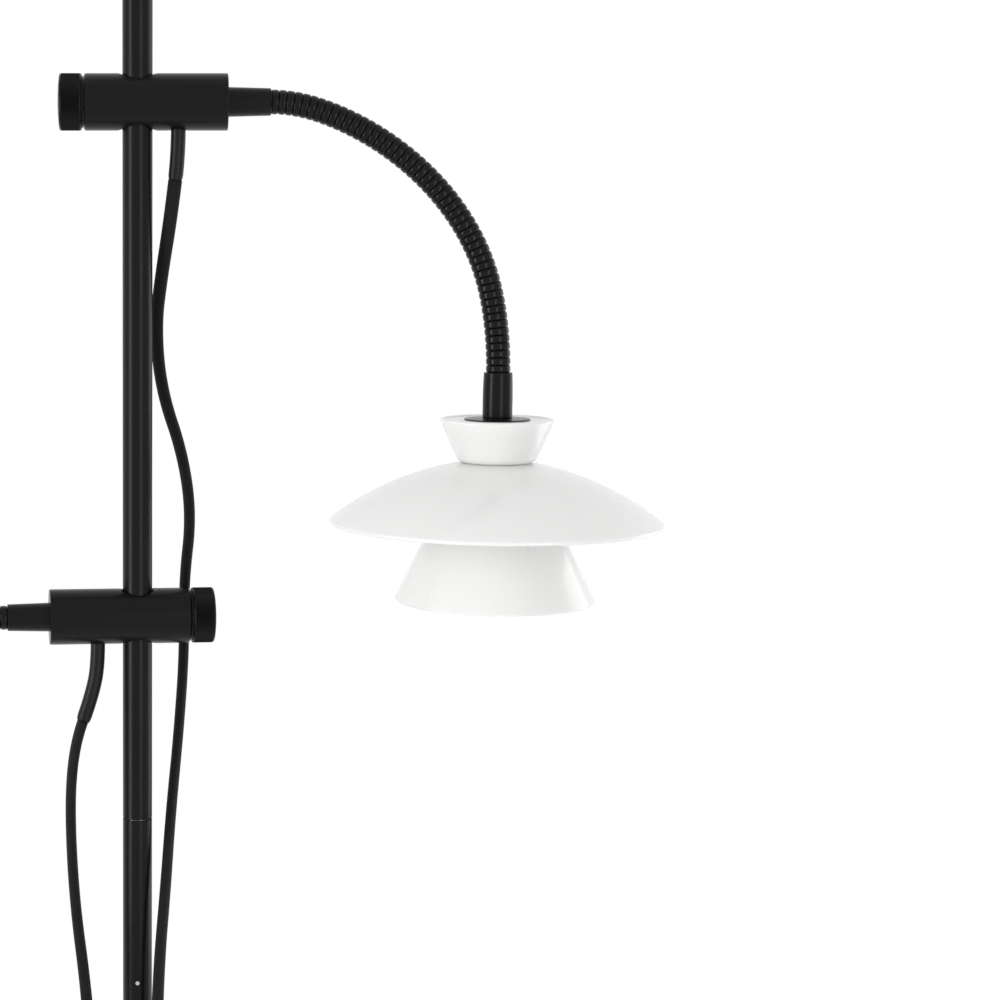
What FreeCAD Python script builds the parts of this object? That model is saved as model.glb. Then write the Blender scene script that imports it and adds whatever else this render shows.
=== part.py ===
import FreeCAD, Part
import math
import os

from FreeCAD import Placement, Rotation, Vector

# A floor-to-ceiling tension pole that carries two gooseneck lamps on sliding clamps.
# Millimetres. The origin is the centre of the pole's foot on the floor, +Z runs up the pole,
# and the upper arm reaches out along +X.

# ---------------------------------------------------------------- driving dimensions

# pole
CEILING = 2400.0            # floor to ceiling as it stands
TUBE_R = 8.0
TUBE_WALL = 1.2
JOINT_Z = 1213.0            # where the lower tube ends and the upper one begins
JOINT_GAP = 0.4
UPPER_TUBE_TOP = 2050.0
TUBE_CHAMFER = 0.35
SPIGOT_BELOW = 112.0
SPIGOT_ABOVE = 70.0
SPIGOT_WALL = 1.5
RIVET_R = 1.1
RIVET_BELOW_JOINT = 91.0
RIVET_STANDS_OUT = 0.35

# foot and ceiling cup
PAD_R = 30.0
PAD_THICK = 5.0
PAD_LIP = 4.0
CUP_R = 28.2
CUP_RIM = 7.0
CUP_HEIGHT = 41.0
CUP_NECK_R = 12.0
CUP_NECK = 8.0              # height of the straight neck
CUP_EDGE = 1.0
CUP_FLOOR = 9.0

# telescope and ceiling spring
INNER_WALL = 1.2
INNER_BOTTOM = 1780.0
INNER_BELOW_CEILING = 70.0
COLLAR_R = 13.0
COLLAR_BELOW = 28.0
COLLAR_ABOVE = 14.0
COLLAR_GRIPS = 12
COLLAR_GRIP_R = 2.2
STEM_IN_TUBE = 80.0
SPRING_LENGTH = 76.0
SPRING_WIRE_R = 0.6
SPRING_TURNS = 12
SEAT_THICK = 10.0

# clamp on the pole
CLAMP_R = 15.0
CLAMP_KNOB_SIDE = 28.25     # pole axis to the body's knob end
CLAMP_ARM_SIDE = 47.75      # pole axis to the body's arm end
CLAMP_EDGE = 0.8
LINER_WALL = 1.1
LINER_HEIGHT = 23.0
COUNTERSINK = 1.4
KNOB_R = 15.0
KNOB_WIDTH = 12.0
KNOB_GAP = 1.1
KNOB_NECK_R = 9.0
KNOB_CROWN = 1.0
SCREW_R = 4.0
SCREW_IN_KNOB = 7.0
PRESS_R = 5.9
PRESS_LENGTH = 10.0
PRESS_TRAVEL = 1.9
PRESS_DEPTH = 8.0           # how deep the screw's hole goes into the pressure pad
CORD_HOLE_X = 21.6
CORD_HOLE_BEVEL = 1.4
CHAMBER_WALL = 7.0          # left between the pole's hole and the lead's chamber

# gooseneck and its ferrules
FERRULE_LENGTH = 22.75
FERRULE_R_CLAMP = 7.8
FERRULE_R_HOSE = 7.2
FERRULE_SPIGOT_R = 5.95
FERRULE_SPIGOT = 14.0
HOSE_R = 6.5
HOSE_GROOVE = 0.9
HOSE_WALL = 0.7
RIB_PITCH = 4.0
RIB_GROOVE_WIDTH = 1.0
RIB_RAMP = 0.5
LINK_RIBS = (6, 9, 9, 9, 9, 10)
LINK_TURNS = (18.0, 13.6, 13.4, 15.5, 18.0, 11.5)   # degrees, 90 in all
LINK_GAP = 2.4
KNUCKLE_GAP = 0.3
KNUCKLE_PLUG = 5.0
LEAD_WAY_R = 2.4
HOSE_TAIL = 8.0

# head
HEAD_FERRULE = 24.0
HEAD_FERRULE_R_TOP = 7.6
HEAD_FERRULE_R = 7.95
NIPPLE_R = 5.0
NIPPLE_BORE_R = 3.2
NIPPLE_IN_FERRULE = 12.0
NIPPLE_IN_HOLDER = 9.0
FLANGE_R = 17.7
FLANGE_THICK = 1.4
FLANGE_EDGE = 0.6

# shade, a bowl, a dome and a skirt in one
RIM_R = 30.5
RIM_RECESS = 0.6
SHADE_WALL = 2.5
SHADE_PLATE = 3.0
BOWL_DEPTH = 23.5
BOWL_SIDE_DEPTH = 20.0
BOWL_SIDE_R = 21.9
NECK_R = 18.0
DOME_R = 90.0
DOME_START_SLOPE = 10.0
DOME_END_SLOPE = 38.0
SKIRT_R = 53.7
SHADE_HEIGHT = 98.8
HOLDER_R = 13.4
HOLDER_LENGTH = 42.0
BULB_R = 22.5
BULB_CAP_R = 6.9
BULB_CAP_IN = 22.0
BULB_LENGTH = 44.0

# arms on the pole
UPPER_CLAMP_Z = 1600.0
LOWER_CLAMP_Z = 1325.0
UPPER_HEADING = 0.0
LOWER_HEADING = 185.0
UPPER_LEAD_BELOW = 41.04    # clamp axis to where its lead leaves the sleeve
LOWER_LEAD_BELOW = 57.54

# fits
RUNNING = 0.06              # radial play of what slides or turns
SEAT = 0.03                 # radial play of what is pushed or glued in
LOOSE = 0.25                # radial play of a lead or a screw cap in its hole

# flex
CORD_R = 3.3
SLEEVE_R = 3.85

# switch box
BOX_TOP = 985.0
BOX_HEIGHT = 80.0
BOX_HALF_WIDTH = 22.0
BOX_FRONT = 27.0
BOX_BACK = 12.0
BOX_WALL = 2.5
BOX_CORNER = 5.0
BOOT_R = 5.6
BOOT_TIP_R = 4.4
BOOT_LENGTH = 18.0
BOOT_X = (-12.5, 0.0, 12.5)
BOOT_Y = -17.5
BUTTON_R = 7.0
BUTTON_OUT = 2.5
BUTTON_LENGTH = 15.0
BUTTON_FLANGE = 1.6
BUTTON_RIM = 1.8

# clips, coil and plug
CLIP_Z = (730.0, 430.0, 175.0)
CLIP_HEIGHT = 8.0
CLIP_WALL = 1.5
CLIP_MOUTH = 6.0           # how wide each clip is open behind the pole
CLIP_PLAY = 0.45
LEAD_OFF_POLE = 0.6         # between the pole and the lead in its clips
COIL_CENTRE = (152.0, 24.0)
COIL_R = 47.0
COIL_PITCH = 7.2
COIL_LAYER = 7.1
COIL_TURNS = 6.5
COIL_END = 6.6
COIL_CLIMB = 0.5            # how much of a turn the lead takes to climb onto the second layer
COIL_LEAD_IN = 28.4         # the lead lies straight this far before its coil
PLUG_LENGTH = 36.0
PLUG_WIDTH = 36.0
PLUG_BOOT = 25.0
PLUG_EDGE = 5.0
PIN_R = 2.0
PIN_LENGTH = 19.0
PIN_SPACING = 19.0
PIN_EDGE = 0.6

# sleeves, in the arm's frame: x along the arm, z up from the clamp's axis
UPPER_SLEEVE_ROUTE = [(21.6, 0.0, -8.0), (21.8, 0.0, -26.0), (20.0, 0.0, -41.0)]
LOWER_SLEEVE_ROUTE = [(21.6, 0.0, -8.0), (21.3, 0.0, -26.0), (25.0, 0.0, -44.0), (29.8, 0.0, -57.5)]

# ---------------------------------------------------------------- what follows from them

TUBE_BORE = TUBE_R - TUBE_WALL
TUBE_FOOT = PAD_THICK + CUP_FLOOR
INNER_R = TUBE_BORE - RUNNING
INNER_BORE = INNER_R - INNER_WALL
STEM_R = INNER_BORE - RUNNING
INNER_TOP = CEILING - INNER_BELOW_CEILING
STEM_BOTTOM = INNER_TOP - STEM_IN_TUBE
SEAT_TOP = STEM_BOTTOM - SPRING_LENGTH
SPRING_MEAN_R = INNER_BORE - LOOSE - SPRING_WIRE_R

LINER_BORE = TUBE_R + RUNNING
LINER_R = LINER_BORE + LINER_WALL
POLE_HOLE_R = LINER_R + RUNNING
CHAMBER_R = FERRULE_SPIGOT_R + SEAT
CHAMBER_END = POLE_HOLE_R + CHAMBER_WALL
CORD_HOLE_R = SLEEVE_R + LOOSE
PRESS_BORE = PRESS_R + RUNNING
PRESS_OUT = POLE_HOLE_R + PRESS_LENGTH
SCREW_TIP = PRESS_OUT - PRESS_DEPTH + PRESS_TRAVEL + LOOSE
FERRULE_END = CLAMP_ARM_SIDE + FERRULE_LENGTH

GROOVE_R = HOSE_R - HOSE_GROOVE
HOSE_BORE = GROOVE_R - HOSE_WALL
KNUCKLE_R = HOSE_BORE - KNUCKLE_GAP
TAIL_R = GROOVE_R - 0.1
HOLDER_BORE = BULB_CAP_R + LOOSE
KNOB_BACK = CLAMP_KNOB_SIDE + KNOB_GAP

BOX_BOTTOM = BOX_TOP - BOX_HEIGHT
BOX_HOLE = TUBE_R + SEAT
BOOT_TIPS = BOX_BOTTOM - BOOT_LENGTH
PLUG_AXIS_Z = CORD_R + COIL_LAYER
CLIPPED_Y = -(TUBE_R + LEAD_OFF_POLE + CORD_R)

# routes, points chosen by hand; the arms' leads have their heights from the boots' tips
UPPER_LEAD = [
    (19.996, 0.0, 671.96), (17.6, 0.0, 652.0), (12.9, 5.5, 622.0), (9.6, 11.6, 594.0),
    (13.0, 12.8, 559.0), (24.6, 14.6, 525.0), (29.6, 20.0, 490.0), (25.6, 25.0, 453.0),
    (25.9, 24.6, 413.0), (22.8, 20.0, 369.0), (18.4, 9.0, 327.0), (15.4, -6.5, 289.0),
    (12.0, -15.5, 252.0), (10.4, -18.0, 211.0), (18.5, -14.0, 169.0), (31.5, -2.0, 127.0),
    (40.5, 9.0, 78.0), (44.0, 13.4, 25.0), (42.6, 13.0, -27.0), (43.5, 12.5, -65.0),
    (43.5, 12.5, -97.0), (28.0, -2.5, -109.4), (12.5, -17.5, -97.0), (13.6, -17.0, -58.0),
    (12.5, -17.5, -23.0), (12.5, -17.5, 0.0),
]
LOWER_LEAD = [
    (-29.699, -2.598, 380.46), (-33.512, -2.932, 369.7), (-36.6, -4.0, 344.0), (-36.2, -6.0, 311.0),
    (-33.6, -8.8, 275.0), (-28.6, -11.8, 237.0), (-25.6, -11.0, 198.0), (-28.5, -4.0, 159.0),
    (-36.5, 5.0, 117.0), (-43.0, 12.0, 71.0), (-43.0, 13.4, 23.0), (-44.3, 12.8, -25.0),
    (-43.5, 12.5, -67.0), (-28.0, -2.5, -79.4), (-12.5, -17.5, -67.0), (-13.4, -16.9, -41.0),
    (-12.5, -17.5, -20.0), (-12.5, -17.5, 0.0),
]
SUPPLY_ROUTE = [
    (0.0, BOOT_Y, BOOT_TIPS), (0.0, BOOT_Y, BOOT_TIPS - 21.0),
    (-0.5, CLIPPED_Y - 2.7, BOOT_TIPS - 59.0), (0.4, CLIPPED_Y - 0.7, BOOT_TIPS - 107.0),
    (0.0, CLIPPED_Y, CLIP_Z[0]), (0.9, CLIPPED_Y - 0.9, 655.0),
    (-0.6, CLIPPED_Y - 0.8, 580.0), (0.3, CLIPPED_Y - 0.8, 505.0),
    (0.0, CLIPPED_Y, CLIP_Z[1]), (-0.8, CLIPPED_Y - 1.0, 345.0), (0.5, CLIPPED_Y - 0.7, 258.0),
    (0.0, CLIPPED_Y, CLIP_Z[2]), (1.3, CLIPPED_Y - 1.1, 123.0), (9.0, -17.0, 76.0),
    (26.0, -22.0, 34.0), (53.0, -25.0, 8.5), (86.0, -25.9, CORD_R),
]


# ---------------------------------------------------------------- small helpers

def rod(radius, start, end):
    """A round bar between two points."""
    start, end = Vector(*start), Vector(*end)
    return Part.makeCylinder(radius, (end - start).Length, start, end - start)


def upright(radius, low, high, x=0.0, y=0.0):
    return rod(radius, (x, y, low), (x, y, high))


def level(radius, low, high):
    """A round bar along the arm's X axis."""
    return rod(radius, (low, 0, 0), (high, 0, 0))


def turned(profile, axis=Vector(0, 0, 1)):
    """A lathe-turned solid. The profile is a closed ring of (radius, height) points, and a
    point of two pairs is an arc: its middle, then its end."""
    def place(pair):
        radius, height = pair
        return Vector(radius, 0, height) if axis.z else Vector(height, 0, radius)

    edges = []
    here = place(profile[0])
    for step in profile[1:] + [profile[0]]:
        if isinstance(step[0], tuple):
            middle, end = place(step[0]), place(step[1])
            edges.append(Part.Arc(here, middle, end).toShape())
        else:
            end = place(step)
            if (end - here).Length < 1e-7:
                continue
            edges.append(Part.LineSegment(here, end).toShape())
        here = end
    face = Part.Face(Part.Wire(edges))
    return face.revolve(Vector(0, 0, 0), axis, 360)


def fused(first, *others):
    return first.fuse(list(others)).removeSplitter()


def save(name, shape):
    solids = shape.Solids
    if not solids or not shape.isValid():
        raise ValueError(name + " is not a sound solid")
    if len(solids) == 1:
        shape = solids[0]
    shape.exportStep(os.path.join("parts", name + ".step"))


def rounded_corner(before, corner, after):
    """Where the arc that rounds a route's corner starts and ends, its middle and its radius."""
    come, go = corner - before, after - corner
    cut = 0.45 * min(come.Length, go.Length)
    come.normalize()
    go.normalize()
    half_turn = come.getAngle(go) / 2
    radius = cut / math.tan(half_turn)
    inward = go - come
    inward.normalize()
    middle = corner + inward * (radius / math.cos(half_turn) - radius)
    return corner - come * cut, middle, corner + go * cut, radius


def hung(lead, top):
    """A lead's route with its heights stretched between the boots' tips and its clamp's sleeve."""
    stretch = (top - BOOT_TIPS) / lead[0][2]
    return [(x, y, BOOT_TIPS + z * (stretch if z > 0 else 1.0)) for x, y, z in lead]


def flex(name, route, radius):
    """A plain tube along straight runs joined by arcs."""
    points = [Vector(*p) for p in route]
    edges, radii = [], []
    here = points[0]
    for before, corner, after in zip(points, points[1:], points[2:]):
        start, middle, end, bend = rounded_corner(before, corner, after)
        edges.append(Part.LineSegment(here, start).toShape())
        edges.append(Part.Arc(start, middle, end).toShape())
        radii.append(bend)
        here = end
    edges.append(Part.LineSegment(here, points[-1]).toShape())
    path = Part.Wire(edges)
    ring = Part.Wire(Part.Circle(points[0], points[1] - points[0], radius).toShape())
    tube = path.makePipeShell([ring], True, False)
    share = tube.Volume / (math.pi * radius ** 2 * path.Length)
    runs = [(b - a).Length for a, b in zip(points, points[1:])]
    print("%s: %.0f mm long, tightest bend %.0f mm, longest run %.0f mm, volume share %.4f"
          % (name, path.Length, min(radii), max(runs), share))
    return tube


def biarc(start, leave, end, arrive):
    """Two arcs that join two points and their directions."""
    chord = end - start
    sum_of_ways = leave + arrive
    spread = 2 * (1 - leave.dot(arrive))
    along = chord.dot(sum_of_ways)
    if spread < 1e-9:
        reach = chord.dot(chord) / (2 * along)
    else:
        reach = (math.sqrt(along ** 2 + spread * chord.dot(chord)) - along) / spread
    meet = (start + end + (leave - arrive) * reach) * 0.5
    edges = []
    for a, corner, b in ((start, start + leave * reach, meet), (meet, end - arrive * reach, end)):
        between = (a + b) * 0.5
        bulge = corner - between
        half_turn = math.atan2(bulge.Length, (b - a).Length / 2)
        radius = (b - a).Length / 2 / math.sin(half_turn)
        bulge.normalize()
        edges.append(Part.Arc(a, between + bulge * (radius * (1 - math.cos(half_turn))), b).toShape())
    return edges


def wound(place, way, turns, radius, lead_in=None, lead_out=None):
    """One unbroken tube along place(turn), which heads along way(turn), in quarter turns."""
    quarters = int(round(turns * 4))
    edges = []
    if lead_in:
        edges.append(Part.LineSegment(place(0) - way(0) * lead_in, place(0)).toShape())
    for k in range(quarters):
        a, b = k / 4.0, (k + 1) / 4.0
        edges += biarc(place(a), way(a), place(b), way(b))
    if lead_out:
        end = place(turns)
        edges.append(Part.LineSegment(end, end + way(turns) * lead_out).toShape())
    path = Part.Wire(edges)
    first = edges[0].valueAt(edges[0].FirstParameter)
    ring = Part.Wire(Part.Circle(first, way(0), radius).toShape())
    tube = path.makePipeShell([ring], True, False)
    return tube, path.Length


def least_gap(place, turns, radius, steps=72):
    """The smallest space between one turn and any other, measured on points."""
    points = [place(k / steps) for k in range(int(turns * steps) + 1)]
    apart = steps // 2
    nearest = min(
        (points[i] - points[j]).Length
        for i in range(len(points))
        for j in range(i + apart, len(points))
    )
    return nearest - 2 * radius


# ---------------------------------------------------------------- pole

def cup(socket_r):
    """The cup at either end of the pole: rim at z = 0, socket at the top."""
    return turned([
        (0, 0), (CUP_R, 0), (CUP_R, CUP_RIM),
        ((CUP_NECK_R + (CUP_R - CUP_NECK_R) * 0.36, CUP_HEIGHT * 0.38),
         (CUP_NECK_R + CUP_EDGE, CUP_HEIGHT - CUP_NECK)),
        (CUP_NECK_R, CUP_HEIGHT - CUP_EDGE), (CUP_NECK_R - CUP_EDGE, CUP_HEIGHT),
        (socket_r, CUP_HEIGHT), (socket_r, CUP_FLOOR), (0, CUP_FLOOR),
    ])


def rubber_pad():
    outer = PAD_R
    inner = CUP_R + SEAT
    top = PAD_THICK + PAD_LIP
    return turned([
        (0, 0), (outer - 1.0, 0), (outer, 1.0), (outer, top - 1.0), (outer - 0.6, top),
        (inner, top), (inner, PAD_THICK), (0, PAD_THICK),
    ])


def pipe(outer, inner, low, high):
    bevel = TUBE_CHAMFER
    return turned([
        (inner, low), (outer - bevel, low), (outer, low + bevel), (outer, high - bevel),
        (outer - bevel, high), (inner, high),
    ])


def flipped(shape, height):
    """The same piece upside down, with its foot at the given height."""
    return shape.copy().transformed(
        Placement(Vector(0, 0, height), Rotation(Vector(1, 0, 0), 180)).toMatrix())


def make_pole():
    save("floor_pad", rubber_pad())
    foot = cup(TUBE_R + SEAT)
    foot.translate(Vector(0, 0, PAD_THICK))
    save("floor_foot", foot)

    rivet_z = JOINT_Z - RIVET_BELOW_JOINT
    rivet_out = TUBE_R + RIVET_STANDS_OUT
    rivet_hole = rod(RIVET_R + SEAT, (0, 0, rivet_z), (0, -TUBE_R - 1, rivet_z))
    save("lower_tube", pipe(TUBE_R, TUBE_BORE, TUBE_FOOT, JOINT_Z).cut(rivet_hole))
    save("upper_tube", pipe(TUBE_R, TUBE_BORE, JOINT_Z + JOINT_GAP, UPPER_TUBE_TOP))
    spigot_r = TUBE_BORE - SEAT
    spigot = pipe(spigot_r, spigot_r - SPIGOT_WALL, JOINT_Z - SPIGOT_BELOW, JOINT_Z + SPIGOT_ABOVE)
    shank = rod(RIVET_R, (0, -spigot_r + 0.5, rivet_z), (0, -rivet_out, rivet_z))
    save("joint_spigot", fused(spigot, shank))

    save("inner_tube", pipe(INNER_R, INNER_BORE, INNER_BOTTOM, INNER_TOP))
    low, high = UPPER_TUBE_TOP - COLLAR_BELOW, UPPER_TUBE_TOP + COLLAR_ABOVE
    collar = turned([
        (TUBE_R + RUNNING, low), (COLLAR_R - 2.0, low), (COLLAR_R, low + 3.0), (COLLAR_R, high - 4.0),
        (COLLAR_R - 3.5, high), (INNER_R + RUNNING, high),
        (INNER_R + RUNNING, UPPER_TUBE_TOP + RUNNING), (TUBE_R + RUNNING, UPPER_TUBE_TOP + RUNNING),
    ])
    grips = []
    for k in range(COLLAR_GRIPS):
        angle = 2 * math.pi * k / COLLAR_GRIPS
        away = COLLAR_R + COLLAR_GRIP_R * 0.65
        grips.append(upright(COLLAR_GRIP_R, low - 1, high + 1,
                             away * math.cos(angle), away * math.sin(angle)))
    save("lock_collar", collar.cut(grips))

    save("spring_seat", upright(INNER_BORE - SEAT, SEAT_TOP - SEAT_THICK, SEAT_TOP))
    make_spring()
    cup_rim_z = CEILING - PAD_THICK
    save("ceiling_stem", upright(STEM_R, STEM_BOTTOM, cup_rim_z - CUP_FLOOR))
    save("ceiling_cup", flipped(cup(STEM_R + SEAT), cup_rim_z))
    save("ceiling_pad", flipped(rubber_pad(), CEILING))


def make_spring():
    climb = (SPRING_LENGTH - 2 * SPRING_WIRE_R - 2 * RUNNING) / SPRING_TURNS
    start = SEAT_TOP + SPRING_WIRE_R + RUNNING

    def place(turn):
        angle = 2 * math.pi * turn
        return Vector(SPRING_MEAN_R * math.cos(angle), SPRING_MEAN_R * math.sin(angle),
                      start + climb * turn)

    def way(turn):
        angle = 2 * math.pi * turn
        heading = Vector(-math.sin(angle), math.cos(angle), climb / (2 * math.pi * SPRING_MEAN_R))
        return heading.normalize()

    tube, length = wound(place, way, SPRING_TURNS, SPRING_WIRE_R)
    print("ceiling_spring: %.0f mm of wire, least gap %.2f mm"
          % (length, least_gap(place, SPRING_TURNS, SPRING_WIRE_R)))
    save("ceiling_spring", tube)


# ---------------------------------------------------------------- clamp

def clamp_body():
    body = turned([
        (0, -CLAMP_KNOB_SIDE), (CLAMP_R - CLAMP_EDGE, -CLAMP_KNOB_SIDE),
        (CLAMP_R, -CLAMP_KNOB_SIDE + CLAMP_EDGE), (CLAMP_R, CLAMP_ARM_SIDE - CLAMP_EDGE / 2),
        (CLAMP_R - CLAMP_EDGE / 2, CLAMP_ARM_SIDE), (0, CLAMP_ARM_SIDE),
    ], Vector(1, 0, 0))
    past = CLAMP_R + 1.0
    holes = [upright(POLE_HOLE_R, -past, past)]
    for side in (1, -1):
        holes.append(Part.makeCone(
            POLE_HOLE_R, POLE_HOLE_R + COUNTERSINK + 1.0, COUNTERSINK + 1.0,
            Vector(0, 0, side * (CLAMP_R - COUNTERSINK)), Vector(0, 0, side)))
    holes.append(level(SCREW_R + RUNNING, -CLAMP_KNOB_SIDE - 1, 0))
    holes.append(level(PRESS_BORE, -PRESS_OUT - PRESS_TRAVEL - LOOSE, 0))
    holes.append(level(CHAMBER_R, CHAMBER_END, CLAMP_ARM_SIDE + 1))
    holes.append(upright(CORD_HOLE_R, -past, 0, CORD_HOLE_X))
    bevel_depth = CORD_HOLE_BEVEL + 1.0
    holes.append(Part.makeCone(
        CORD_HOLE_R + bevel_depth, CORD_HOLE_R, bevel_depth,
        Vector(CORD_HOLE_X, 0, -CLAMP_R - 1.0), Vector(0, 0, 1)))
    return body.cut(holes)


def knob():
    inner = -KNOB_BACK
    outer = inner - KNOB_WIDTH
    neck = -CLAMP_KNOB_SIDE - RUNNING
    bevel = CLAMP_EDGE
    face_r = KNOB_R - bevel
    crown_bend = (face_r ** 2 + KNOB_CROWN ** 2) / (2 * KNOB_CROWN)
    halfway = KNOB_CROWN - crown_bend + math.sqrt(crown_bend ** 2 - (face_r / 2) ** 2)
    return turned([
        (SCREW_R + SEAT, neck), (KNOB_NECK_R, neck), (KNOB_NECK_R, inner), (KNOB_R - bevel, inner),
        (KNOB_R, inner - bevel), (KNOB_R, outer + bevel), (face_r, outer),
        ((face_r / 2, outer - halfway), (0, outer - KNOB_CROWN)),
        (0, inner - SCREW_IN_KNOB - SEAT), (SCREW_R + SEAT, inner - SCREW_IN_KNOB - SEAT),
    ], Vector(1, 0, 0))


def pressure_pad():
    pad = level(PRESS_R, -PRESS_OUT, -LINER_R + 2.0)
    pad = pad.cut(upright(POLE_HOLE_R, -PRESS_R - 1, PRESS_R + 1))
    return pad.cut(level(SCREW_R + RUNNING, -PRESS_OUT - 1, -PRESS_OUT + PRESS_DEPTH))


def clamp_ferrule():
    shoulder = CLAMP_ARM_SIDE
    return turned([
        (LEAD_WAY_R + 0.8, shoulder - FERRULE_SPIGOT), (FERRULE_SPIGOT_R, shoulder - FERRULE_SPIGOT),
        (FERRULE_SPIGOT_R, shoulder), (FERRULE_R_CLAMP, shoulder), (FERRULE_R_HOSE, FERRULE_END - 0.3),
        (FERRULE_R_HOSE - 0.3, FERRULE_END), (TAIL_R + SEAT, FERRULE_END),
        (TAIL_R + SEAT, FERRULE_END - HOSE_TAIL - SEAT),
        (LEAD_WAY_R + 0.8, FERRULE_END - HOSE_TAIL - SEAT),
    ], Vector(1, 0, 0))


# ---------------------------------------------------------------- gooseneck

class Path:
    """The gooseneck's centre line: one arc for each link, bending down in the arm's XZ plane."""

    def __init__(self):
        self.arcs = []
        x, z, slope, run = FERRULE_END, 0.0, 0.0, 0.0
        for ribs, turn in zip(LINK_RIBS, LINK_TURNS):
            length = ribs * RIB_PITCH
            radius = length / math.radians(turn)
            centre = (x - radius * math.sin(slope), z - radius * math.cos(slope))
            self.arcs.append((run, length, slope, radius, centre))
            slope += math.radians(turn)
            x = centre[0] + radius * math.sin(slope)
            z = centre[1] + radius * math.cos(slope)
            run += length
        self.length = run
        self.end = (x, z)

    def at(self, run):
        """The point and the heading at a length along the hose."""
        for start, length, slope, radius, centre in self.arcs:
            if run <= start + length + 1e-6:
                break
        angle = slope + (run - start) / radius
        point = Vector(centre[0] + radius * math.sin(angle), 0, centre[1] + radius * math.cos(angle))
        return point, Vector(math.cos(angle), 0, -math.sin(angle))

    def ring(self, run, radius):
        point, ahead = self.at(run)
        circle = Part.makeCircle(radius)
        circle.Placement = Placement(point, Rotation(Vector(0, 1, 0), Vector(), ahead, "ZXY"))
        return Part.Wire(circle)

    def bore(self, link, start, end, radius):
        """A round hole along one link's arc."""
        bend, centre = self.arcs[link][3:]
        disc = Part.Face(self.ring(start, radius))
        turn = math.degrees((end - start) / bend)
        return disc.revolve(Vector(centre[0], 0, centre[1]), Vector(0, 1, 0), turn)


def tail(point, ahead):
    """The hose's plain end, held in a ferrule."""
    outside = Part.makeCylinder(TAIL_R, HOSE_TAIL, point, ahead)
    return outside.cut(Part.makeCylinder(HOSE_BORE, HOSE_TAIL, point, ahead))


def hose_link(path, link):
    """One length of the ribbed hose, with the knuckle ball that carries the next one."""
    first, length = path.arcs[link][0], path.arcs[link][1]
    begin, finish = first, first + length
    is_first, is_last = link == 0, link == len(LINK_RIBS) - 1
    start = begin if is_first else begin + LINK_GAP / 2
    end = finish if is_last else finish - LINK_GAP / 2
    rings = []
    for rib in range(LINK_RIBS[link]):
        low = begin + rib * RIB_PITCH + RIB_GROOVE_WIDTH / 2
        high = low + RIB_PITCH - RIB_GROOVE_WIDTH
        if rib == 0:
            low = start
        if rib == LINK_RIBS[link] - 1:
            high = end
        rings += [(low, GROOVE_R), (low + RIB_RAMP, HOSE_R), (high - RIB_RAMP, HOSE_R), (high, GROOVE_R)]
    shell = Part.makeLoft([path.ring(run, radius) for run, radius in rings], True, True)

    plug_from = end if is_last else end - KNUCKLE_PLUG
    solid = shell.cut(path.bore(link, start, plug_from, HOSE_BORE))
    if is_first:
        point, ahead = path.at(start)
        solid = solid.fuse(tail(point, ahead * -1))
    point, ahead = path.at(end)
    if is_last:
        return solid.fuse(tail(point, ahead)).removeSplitter()
    ball = Part.makeSphere(KNUCKLE_R, path.at(finish)[0])
    lead_way = [path.bore(link, plug_from, end, LEAD_WAY_R),
                Part.makeCylinder(LEAD_WAY_R, 2 * KNUCKLE_R + LINK_GAP, point, ahead)]
    solid = solid.fuse(ball).cut(lead_way)
    return solid.removeSplitter()


# ---------------------------------------------------------------- head

def head_ferrule():
    """Turned sleeve between the hose and the shade, its top face at z = 0."""
    low = -HEAD_FERRULE
    return turned([
        (TAIL_R + SEAT, 0), (HEAD_FERRULE_R_TOP - 0.3, 0), (HEAD_FERRULE_R_TOP, -0.3),
        ((HEAD_FERRULE_R, low / 2), (HEAD_FERRULE_R, low * 0.75)),
        (HEAD_FERRULE_R, low + 0.3), (HEAD_FERRULE_R - 0.3, low), (NIPPLE_R + SEAT, low),
        (NIPPLE_R + SEAT, low + NIPPLE_IN_FERRULE + SEAT), (NIPPLE_BORE_R, low + NIPPLE_IN_FERRULE + SEAT),
        (NIPPLE_BORE_R, -HOSE_TAIL - SEAT), (TAIL_R + SEAT, -HOSE_TAIL - SEAT),
    ])


def flange():
    """Thin washer cap over the shade's hole, its top face at z = 0."""
    hub = HEAD_FERRULE_R + 1.2
    return turned([
        (NIPPLE_R + SEAT, 0), (hub, 0), (FLANGE_R - 0.2, FLANGE_EDGE - FLANGE_THICK),
        (FLANGE_R, FLANGE_EDGE / 2 - FLANGE_THICK), (FLANGE_R - 0.2, -FLANGE_THICK),
        (NIPPLE_R + SEAT, -FLANGE_THICK),
    ])


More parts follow.
